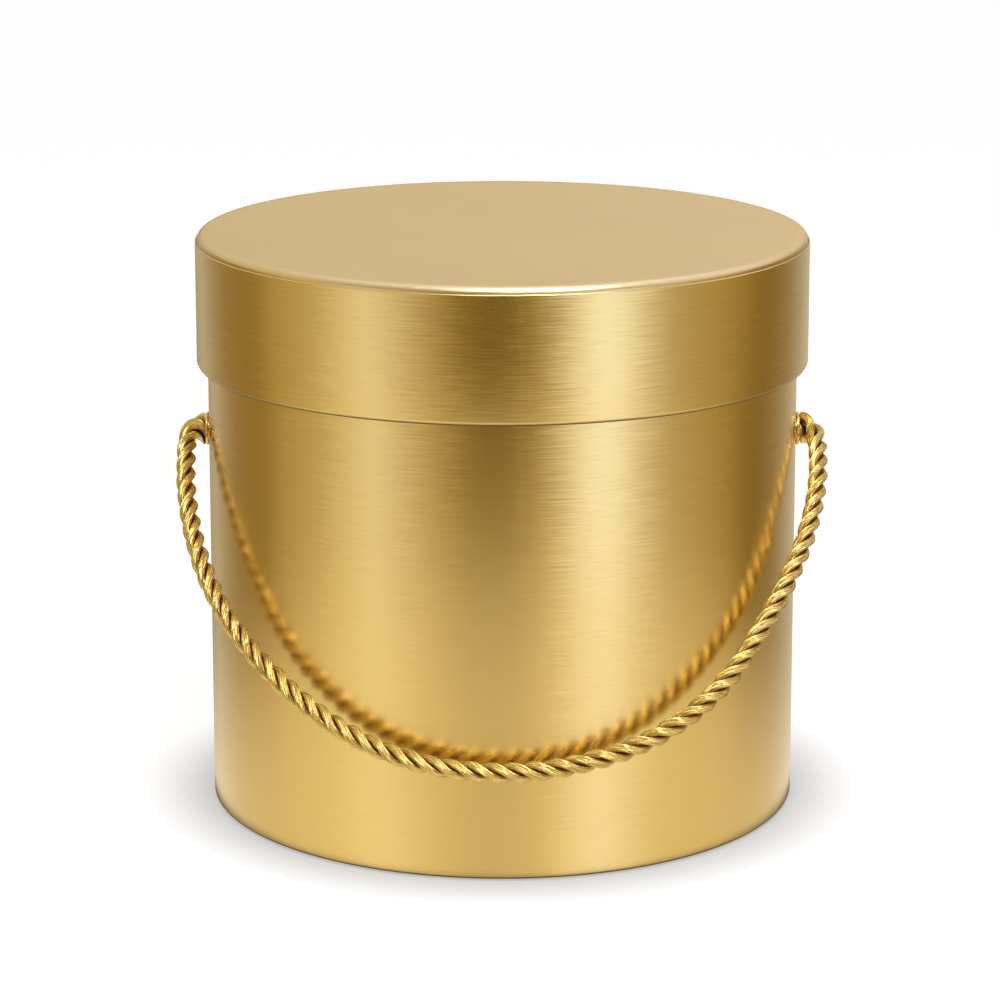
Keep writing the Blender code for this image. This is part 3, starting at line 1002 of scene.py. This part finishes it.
def spread_at(travelled, length, cord):
    """How much wider the strands spread where the cord bends sharply out of an eyelet."""
    from_mouth = min(travelled, length - travelled) - cord.mouth
    run = cord.spread_inside if from_mouth < 0 else cord.spread_outside
    share = max(0.0, 1 - abs(from_mouth) / run)
    return 1 + cord.spread * share * share * (3 - 2 * share)


def lay_up_cord(route, start_normal, cord, size=1.0, spreads=False):
    """Three strands laid up round a route, in one shape. Their yarns run back part of the way."""
    points, length = space_evenly(route, cord.ring_spacing)
    frames = carry_frames(points, start_normal)
    section = strand_section(cord.diameter / 2 * size, cord.strand_radius * size, cord.section_points)
    rings, sides = len(points) - 1, len(section) - 1
    shape = bmesh.new()
    uv = shape.loops.layers.uv.new(UV_NAME)
    # The groove layer holds how deep a point lies between the strands, for the satin's painted shade.
    groove = shape.verts.layers.float.new("groove")
    for strand in range(STRANDS):
        grid = bmesh.ops.create_grid(shape, x_segments=rings, y_segments=sides, size=1)
        fresh = set(grid["verts"])
        across = {}
        for vert in fresh:
            ring = round((vert.co.x + 1) / 2 * rings)
            side = round((vert.co.y + 1) / 2 * sides)
            point, normal, binormal = frames[ring]
            travelled = length * ring / rings
            wind = math.tau * travelled / (cord.lay * size) + math.tau * strand / STRANDS
            turn, radius, depth = section[side]
            around = cord.strand_radius * size * (2 * turn + cord.yarn_return * wind)
            ridge = cord.yarn_height * size * (1 - depth) * math.cos(math.tau * around / cord.yarn)
            direction = normal * math.cos(wind + turn) + binormal * math.sin(wind + turn)
            width = spread_at(travelled, length, cord) if spreads else 1.0
            vert.co = point + direction * (radius + ridge) * width
            vert[groove] = depth
            past_face = cord.yarn * side if side > cord.section_points + 1 else 0.0
            across[vert] = (travelled, around + past_face)
        for face in {face for vert in fresh for face in vert.link_faces}:
            for loop in face.loops:
                loop[uv].uv = across[loop.vert]
    bmesh.ops.remove_doubles(shape, verts=shape.verts, dist=0.000004)
    bmesh.ops.holes_fill(shape, edges=[edge for edge in shape.edges if edge.is_boundary], sides=0)
    bmesh.ops.recalc_face_normals(shape, faces=shape.faces)
    return shape, points, length


def hang(across, drop, bulge):
    """A point beside the cord's hanging plane, which leans out in front of the box."""
    forward, down = math.sin(CORD_HANG_ANGLE), math.cos(CORD_HANG_ANGLE)
    return Vector((across, -drop * forward - bulge * down, EYELET_HEIGHT - drop * down + bulge * forward))


class FLOWERBOX_OT_cord(bpy.types.Operator):
    """The twisted cord from eyelet to eyelet"""

    bl_idname = "flowerbox.cord"
    bl_label = "Cord"

    def execute(self, context):
        cord = context.scene.flower_box_cord
        route = smooth_curve([hang(*place) for place in CORD_ROUTE], 24)
        plane_normal = Vector((0, math.cos(CORD_HANG_ANGLE), -math.sin(CORD_HANG_ANGLE)))
        shape, points, length = lay_up_cord(route, plane_normal, cord, spreads=True)
        satin = satin_thread(context)
        piece = make_piece("twisted_cord", shape, satin, "handle", ["cord_handle"])
        return {"FINISHED"}


def overhand_route(sign):
    """An overhand knot on the eyelets' axis: a trefoil cut open, with both ends led out along X."""
    body = (KNOT_SEAT - KNOT_END) / 2
    centre = (KNOT_SEAT + KNOT_END) / 2
    thickness = KNOT_RADIUS / 1.9
    mean, swing = 0.98 * thickness, 0.42 * thickness
    length_swing = body - thickness / 2
    lead = 0.15 * body
    steps, cut_open = 60, 3
    points = [Vector((KNOT_SEAT, 0, 0)), Vector((KNOT_SEAT - lead, 0, 0))]
    for step in range(cut_open + 1, steps - cut_open):
        t = math.pi / 3 + math.tau * step / steps
        radius = mean + swing * math.cos(3 * t)
        across = centre + length_swing * math.sin(3 * t)
        points.append(Vector((across, radius * math.cos(2 * t), radius * math.sin(2 * t))))
    points += [Vector((KNOT_END + lead, 0, 0)), Vector((KNOT_END, 0, 0))]
    lifted = Vector((0, 0, EYELET_HEIGHT))
    return [Vector((sign * point.x, point.y, point.z)) + lifted for point in points], thickness


def tape_corners(wraps):
    """The profile of a bound tip: each wrap of tape starts a little inside the one before."""
    wrap = (TIP_SEAT - TIP_END) / wraps
    end_radius, step_radius = 0.96 * TIP_RADIUS, 0.97 * TIP_RADIUS
    corners = [(0, TIP_END, 0), (end_radius, TIP_END, 0.0006)]
    for index in range(wraps):
        start = TIP_END + index * wrap
        corners += [(step_radius, start + 0.12 * wrap, 0), (TIP_RADIUS, start + 0.9 * wrap, 0)]
    return [*corners, (end_radius, TIP_SEAT, 0.0003), (0, TIP_SEAT, 0)]


class FLOWERBOX_OT_cord_ends(bpy.types.Operator):
    """The stop knots inside the box and the bound tips of the cord"""

    bl_idname = "flowerbox.cord_ends"
    bl_label = "Cord ends"

    def execute(self, context):
        cord = context.scene.flower_box_cord
        satin = satin_thread(context)
        tape = binding_tape(context)
        for side, sign in zip(SIDES, (-1, 1)):
            route, thickness = overhand_route(sign)
            size = thickness / cord.diameter
            shape, _, _ = lay_up_cord(smooth_curve(route, 6), Vector((0, 0, 1)), cord, size)
            make_piece(f"cord_stop_knot_{side}", shape, satin, "handle", [f"cord_knot_{side}"])
            shape, _ = turn_profile(tape_corners(wraps=5), 40)
            close_shape(shape)
            lay_along_x(shape, sign)
            make_piece(f"cord_bound_tip_{side}", shape, tape, "handle", [f"cord_tip_{side}"])
        return {"FINISHED"}


# Stage


WHITE = (1, 1, 1)

# Soft lamps for matt surfaces: turn in degrees from the front towards +X, distance, height, width, tallness
SOFTBOXES = {
    "right": (36, 1.7, 0.75, 0.42, 1.5),
    "left": (-52, 1.7, 0.75, 0.50, 1.5),
    "above": (12, 0.95, 1.35, 1.0, 0.8),
}

# Levels of the studio round the box as its gloss sees it: turn in degrees from the front, then a warm grey
STUDIO_CARDS = (
    (-180, (0.49, 0.40, 0.23)),
    (-168, (0.40, 0.32, 0.18)),
    (-150, (0.53, 0.45, 0.32)),
    (-125, (0.34, 0.24, 0.11)),
    (-106, (0.32, 0.21, 0.06)),
    (-90, (0.51, 0.39, 0.19)),
    (-75, (0.60, 0.49, 0.30)),
    (-62, (0.84, 0.75, 0.60)),
    (-50, (1.01, 0.97, 1.00)),
    (-38, (0.75, 0.67, 0.62)),
    (-25, (0.46, 0.36, 0.21)),
    (-12, (0.19, 0.12, 0.03)),
    (0, (0.13, 0.08, 0.02)),
    (12, (0.31, 0.22, 0.10)),
    (20, (0.64, 0.56, 0.45)),
    (28, (1.03, 1.03, 1.22)),
    (36, (1.28, 1.38, 1.95)),
    (44, (1.24, 1.31, 1.75)),
    (54, (0.85, 0.80, 0.84)),
    (66, (0.57, 0.47, 0.34)),
    (80, (0.50, 0.38, 0.20)),
    (95, (0.42, 0.30, 0.12)),
    (112, (0.25, 0.16, 0.04)),
    (130, (0.32, 0.23, 0.12)),
    (150, (0.48, 0.41, 0.30)),
    (168, (0.62, 0.51, 0.34)),
    (180, (0.49, 0.40, 0.23)),
)

# What gloss sees above the cards at the front and at the rear, overhead, and on the floor
ABOVE_FRONT = (0.44, 0.36, 0.21)
ABOVE_REAR = (0.74, 0.62, 0.43)
CEILING = (0.80, 0.76, 0.66)
FLOOR_POOL = (1.14, 1.0, 0.80)
FOOT_SHADE = (0.14, 0.11, 0.08)

# Angles above the horizon, in degrees, over which the cards, the ceiling and the floor take over
CARD_TOP = (6, 17)
CEILING_EDGE = (25, 50)
FLOOR_EDGE = (-36, -60)

# Round cards overhead: the way to the middle, the angles of edge and core from it in degrees, the level
ROUND_CARDS = (
    ((0.30, 0.10, 0.94), 53, 42, (1.0, 0.96, 1.1)),
    ((0.15, -0.50, 0.85), 26, 14, (6.2, 6.1, 8.0)),
)


def add_softbox(side, level):
    """A tall soft lamp that only matt surfaces see. Its level is that of a card."""
    turn, distance, height, width, tallness = SOFTBOXES[side]
    turn = math.radians(turn)
    lamp = bpy.data.lights.new(f"softbox_{side}", "AREA")
    lamp.shape = "RECTANGLE"
    lamp.size = width
    lamp.size_y = tallness
    lamp.energy = level * math.pi * width * tallness
    softbox = bpy.data.objects.new(lamp.name, lamp)
    softbox.location = (distance * math.sin(turn), -distance * math.cos(turn), height)
    aim = Vector((0, 0, TOTAL_HEIGHT / 2)) - softbox.location
    softbox.rotation_euler = aim.to_track_quat("-Z", "Z").to_euler()
    softbox.visible_camera = False
    softbox.visible_glossy = False
    bpy.context.scene.collection.objects.link(softbox)


def cover_by_height(group, height, level, edge, cover):
    """Goes softly from one level to another between two angles above the horizon."""
    start, full = (math.sin(math.radians(angle)) for angle in edge)
    return blend_colours(group, fade_in(group, height, start, full), level, cover)


def studio_group():
    """The studio's level in a direction: a ring of cards, what stands above them, and the floor."""
    name = "studio_cards"
    if name in bpy.data.node_groups:
        return bpy.data.node_groups[name]
    group, given, result = new_group(name, {"Direction": "Vector"}, {"Level": "Color"})
    direction = combine(group, "NORMALIZE", given["Direction"])["Vector"]
    parts = add_node(group, "ShaderNodeSeparateXYZ", {"Vector": direction}).outputs
    forwards = calculate(group, "MULTIPLY", parts["Y"], -1.0)
    turn = calculate(group, "ARCTAN2", parts["X"], forwards)
    share = calculate(group, "MULTIPLY_ADD", turn, 1 / math.tau, 0.5)
    cards = add_node(group, "ShaderNodeValToRGB", {"Fac": share})
    stops = cards.color_ramp.elements
    stops.remove(stops[-1])
    for index, (degrees, level) in enumerate(STUDIO_CARDS):
        place = degrees / 360 + 0.5
        stop = stops[0] if index == 0 else stops.new(place)
        stop.position = place
        stop.color = (*level, 1)
    at_front = fade_in(group, forwards, 0.0, 0.5)
    above = blend_colours(group, at_front, (*ABOVE_REAR, 1), (*ABOVE_FRONT, 1))
    level = cover_by_height(group, parts["Z"], cards.outputs["Color"], CARD_TOP, above)
    level = cover_by_height(group, parts["Z"], level, CEILING_EDGE, (*CEILING, 1))
    for way, edge, core, card in ROUND_CARDS:
        nearness = combine(group, "DOT_PRODUCT", direction, Vector(way).normalized())["Value"]
        within = fade_in(group, nearness, math.cos(math.radians(edge)), math.cos(math.radians(core)))
        level = blend_colours(group, within, level, (*card, 1))
    level = cover_by_height(group, parts["Z"], level, FLOOR_EDGE, (*FLOOR_POOL, 1))
    group.links.new(level, result.inputs["Level"])
    return group


def studio_world(stage):
    """White behind, a plain fill for matt surfaces, and cards of different levels for gloss."""
    world = bpy.data.worlds.new("studio")
    world.use_nodes = True
    tree = world.node_tree
    direction = add_node(tree, "ShaderNodeTexCoord").outputs["Generated"]
    cards = place_group(tree, studio_group(), {"Direction": direction})
    rays = add_node(tree, "ShaderNodeLightPath").outputs
    seen = blend_colours(tree, rays["Is Glossy Ray"], shade(WHITE, stage.fill_level), cards["Level"])
    seen = blend_colours(tree, rays["Is Camera Ray"], seen, shade(WHITE, stage.backdrop_level))
    tree.links.new(seen, tree.nodes["Background"].inputs["Color"])
    bpy.context.scene.world = world


def add_glow(tree, colour, strength=1.0):
    """The shader of a surface that shines by itself."""
    return add_node(tree, "ShaderNodeEmission", {"Color": colour, "Strength": strength}).outputs["Emission"]


def floor_material(stage):
    """White paper that keeps the box's shadow. Gloss sees a pool of light in it, and the cards beyond."""
    material = bpy.data.materials.new("white_floor")
    material.use_nodes = True
    tree = material.node_tree
    tree.nodes.remove(tree.nodes["Principled BSDF"])
    paper = shade(WHITE, stage.floor_grey)
    matt = add_node(tree, "ShaderNodeBsdfDiffuse", {"Color": paper}).outputs["BSDF"]

    contact = add_node(tree, "ShaderNodeAmbientOcclusion", {"Distance": stage.contact_reach}, samples=16)
    in_the_open = fade_in(tree, contact.outputs["AO"], 0.45, 1.0)
    in_contact = stage.floor_lift * (1 - stage.contact_depth)
    lift = add_glow(tree, (*WHITE, 1), spread_value(tree, in_the_open, in_contact, stage.floor_lift))
    for_camera = add_node(tree, "ShaderNodeAddShader")
    tree.links.new(matt, for_camera.inputs[0])
    tree.links.new(lift, for_camera.inputs[1])

    place = add_node(tree, "ShaderNodeTexCoord").outputs["Object"]
    in_front = combine(tree, "ADD", place, (0, stage.pool_forward, 0))["Vector"]
    drawn_out = combine(tree, "MULTIPLY", in_front, (stage.pool_depth, 1, 1))["Vector"]
    reach = combine(tree, "LENGTH", drawn_out)["Value"]
    in_pool = fade_in(tree, reach, stage.pool_radius, stage.pool_core)
    pool = calculate(tree, "MULTIPLY", in_pool, stage.pool_strength)
    from_axis = combine(tree, "LENGTH", place)["Value"]
    beside_foot = fade_in(tree, from_axis, BODY_RADIUS + stage.gloss_shade, BODY_RADIUS)
    clear = add_node(tree, "ShaderNodeBsdfTransparent", {"Color": (*WHITE, 1)}).outputs["BSDF"]
    for_gloss = blend_shaders(tree, pool, clear, add_glow(tree, (*FLOOR_POOL, 1)))
    for_gloss = blend_shaders(tree, beside_foot, for_gloss, add_glow(tree, (*FOOT_SHADE, 1)))

    rays = add_node(tree, "ShaderNodeLightPath").outputs
    seen = blend_shaders(tree, rays["Is Glossy Ray"], matt, for_gloss)
    seen = blend_shaders(tree, rays["Is Camera Ray"], seen, for_camera.outputs["Shader"])
    tree.links.new(seen, tree.nodes["Material Output"].inputs["Surface"])
    return material


class FLOWERBOX_OT_stage(bpy.types.Operator):
    """White floor, soft lamps and the camera"""

    bl_idname = "flowerbox.stage"
    bl_label = "Stage"

    def execute(self, context):
        stage = context.scene.flower_box_stage
        shape = bmesh.new()
        bmesh.ops.create_grid(shape, x_segments=1, y_segments=1, size=6.0)
        mesh = bpy.data.meshes.new("floor")
        shape.to_mesh(mesh)
        shape.free()
        mesh.materials.append(floor_material(stage))
        floor = bpy.data.objects.new("floor", mesh)
        context.scene.collection.objects.link(floor)
        studio_world(stage)
        add_softbox("right", stage.right_level)
        add_softbox("left", stage.left_level)
        add_softbox("above", stage.above_level)
        lens = bpy.data.cameras.new("camera")
        lens.sensor_width = 36
        lens.lens = stage.camera_lens
        lens.shift_x = stage.camera_shift_x
        lens.shift_y = stage.camera_shift_y
        camera = bpy.data.objects.new("camera", lens)
        camera.location = (0, -stage.camera_distance, stage.camera_height)
        camera.rotation_euler = (math.pi / 2 - stage.camera_pitch, 0, 0)
        context.scene.collection.objects.link(camera)
        context.scene.camera = camera
        context.scene.view_settings.view_transform = "Standard"
        return {"FINISHED"}


class FLOWERBOX_PT_panel(bpy.types.Panel):
    """The steps that dress the box, in order"""

    bl_idname = "FLOWERBOX_PT_panel"
    bl_label = "Round Flower Box"
    bl_space_type = "VIEW_3D"
    bl_region_type = "UI"
    bl_category = "Flower Box"

    def draw(self, context):
        for settings in SETTINGS:
            group = getattr(context.scene, settings)
            box = self.layout.box()
            for name in group.bl_rna.properties.keys():
                if name not in ("rna_type", "name"):
                    box.prop(group, name)
        for operator in OPERATORS:
            self.layout.operator(operator.bl_idname)


SETTINGS = {
    "flower_box_foil": FoilSettings,
    "flower_box_paper": PaperSettings,
    "flower_box_brass": BrassSettings,
    "flower_box_cord": CordSettings,
    "flower_box_stage": StageSettings,
}
OPERATORS = (
    FLOWERBOX_OT_cord_ends,
    FLOWERBOX_OT_cord,
    FLOWERBOX_OT_body_wrap,
    FLOWERBOX_OT_body_linings,
    FLOWERBOX_OT_lid_wraps,
    FLOWERBOX_OT_lid_linings,
    FLOWERBOX_OT_boards,
    FLOWERBOX_OT_eyelets,
    FLOWERBOX_OT_stage,
)


def register():
    for kind in (*SETTINGS.values(), *OPERATORS, FLOWERBOX_PT_panel):
        bpy.utils.register_class(kind)
    for name, kind in SETTINGS.items():
        setattr(bpy.types.Scene, name, PointerProperty(type=kind))


def unregister():
    for name in SETTINGS:
        delattr(bpy.types.Scene, name)
    for kind in (FLOWERBOX_PT_panel, *reversed(OPERATORS), *reversed(SETTINGS.values())):
        bpy.utils.unregister_class(kind)


def main():
    register()
    bpy.ops.flowerbox.cord_ends()
    bpy.ops.flowerbox.cord()
    bpy.ops.flowerbox.body_wrap()
    bpy.ops.flowerbox.body_linings()
    bpy.ops.flowerbox.lid_wraps()
    bpy.ops.flowerbox.lid_linings()
    bpy.ops.flowerbox.boards()
    bpy.ops.flowerbox.eyelets()
    bpy.ops.flowerbox.stage()


if __name__ == "__main__":
    main()
